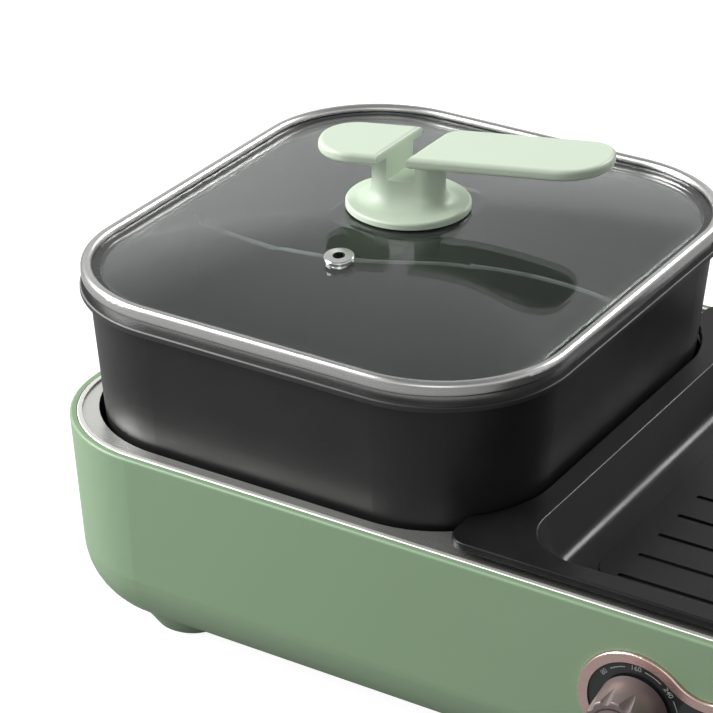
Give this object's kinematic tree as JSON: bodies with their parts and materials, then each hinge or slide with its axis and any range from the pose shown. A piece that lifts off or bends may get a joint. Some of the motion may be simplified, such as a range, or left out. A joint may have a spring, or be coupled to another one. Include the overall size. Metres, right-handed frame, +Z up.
{
  "type": "electric hot pot with lid",
  "caption": "Two-in-one electric table cooker: a long housing with a lift-out divided hot pot under a glass lid, a lift-out grill plate beside it, and a turning knob for each side.",
  "frame": {"origin": "centre of the whole object's outline seen from above, on the worktop that the rubber feet stand on", "axes": "+X along the housing from the pot to the grill, -Y towards the cook (the knobs' side), +Z up"},
  "size_m": [0.6648, 0.2855, 0.2136],
  "materials": {
    "sage_plastic": "satin sage green moulded plastic",
    "foot_rubber": "dark soft rubber",
    "grey_plastic": "dark grey moulded heat-proof plastic",
    "screw_steel": "plated steel",
    "deck_steel": "satin steel sheet with a bright rolled edge",
    "sheet_aluminium": "pressed aluminium sheet",
    "heater_steel": "dull grey heater sheath",
    "terminal_steel": "plated steel",
    "cast_aluminium": "cast aluminium, turned on its face",
    "rose_metal": "rose-gold satin plating",
    "black_gloss": "near-black gloss panel with light printed marks",
    "amber_lens": "clear amber lens",
    "bronze_metal": "mauve-brown satin metallic finish",
    "dark_plastic": "black moulded heat-proof plastic",
    "wire_rubber": "silicone-insulated leads",
    "nonstick_aluminium": "cast aluminium with a matte charcoal non-stick coating",
    "polished_steel": "polished and brushed stainless steel",
    "smoked_glass": "tempered glass, slightly tinted",
    "bright_chrome": "polished chrome",
    "mint_plastic": "pale mint moulded plastic",
    "seal_rubber": "dark silicone rubber"
  },
  "bodies": {
    "base": {"housing": "sage_plastic", "foot_pads": "foot_rubber", "bottom_cover": "grey_plastic", "cover_screws": "screw_steel", "deck_plate": "deck_steel", "pot_well": "sheet_aluminium", "grill_tray": "sheet_aluminium", "heating_tube": "heater_steel", "tube_terminals": "terminal_steel", "tube_rails": "sheet_aluminium", "heating_plate": "cast_aluminium", "plate_legs": "terminal_steel", "plate_terminals": "terminal_steel", "probe_sleeve": "heater_steel", "probe_spring": "terminal_steel", "panel_trim": "rose_metal", "control_panel": "black_gloss", "indicator_lens": "amber_lens", "pot_nut": "terminal_steel", "grill_nut": "terminal_steel", "pot_thermostat": "grey_plastic", "grill_thermostat": "grey_plastic", "inlet_socket": "dark_plastic", "inlet_pins": "terminal_steel", "inlet_screws": "screw_steel", "terminal_block": "grey_plastic", "wiring": "wire_rubber"},
    "probe": {"temperature_probe": "sheet_aluminium"},
    "pot": {"hot_pot": "nonstick_aluminium"},
    "lid": {"lid_ring": "polished_steel", "lid_glass": "smoked_glass", "vent_grommet": "bright_chrome", "lid_handle": "mint_plastic", "handle_gasket": "seal_rubber", "handle_washer": "screw_steel", "handle_screw": "screw_steel"},
    "grill": {"grill_plate": "nonstick_aluminium"},
    "pot_control": {"pot_knob": "bronze_metal", "pot_shaft": "terminal_steel"},
    "grill_control": {"grill_knob": "bronze_metal", "grill_shaft": "terminal_steel"}
  },
  "joints": [
    {"name": "pot_lift", "type": "slide", "parent": "base", "child": "pot", "axis": [0, 0, 1], "range_m": [0, 0.13]},
    {"name": "lid_lift", "type": "slide", "parent": "pot", "child": "lid", "axis": [0, 0, 1], "range_m": [0, 0.12]},
    {"name": "grill_lift", "type": "slide", "parent": "base", "child": "grill", "axis": [0.225, 0, 0.9744], "range_m": [0, 0.09]},
    {"name": "pot_knob_turn", "type": "hinge", "parent": "base", "child": "pot_control", "pos_m": [-0.031, -0.12238, 0.0604], "axis": [0, 0.9976, 0.0698], "range_deg": [0, 270]},
    {"name": "grill_knob_turn", "type": "hinge", "parent": "base", "child": "grill_control", "pos_m": [0.031, -0.12238, 0.0604], "axis": [0, 0.9976, 0.0698], "range_deg": [0, 270]},
    {"name": "probe_press", "type": "slide", "parent": "base", "child": "probe", "axis": [0, 0, 1], "range_m": [-0.0015, 0], "stiffness_N_per_m": 400, "deforming": ["probe_spring"]}
  ]
}
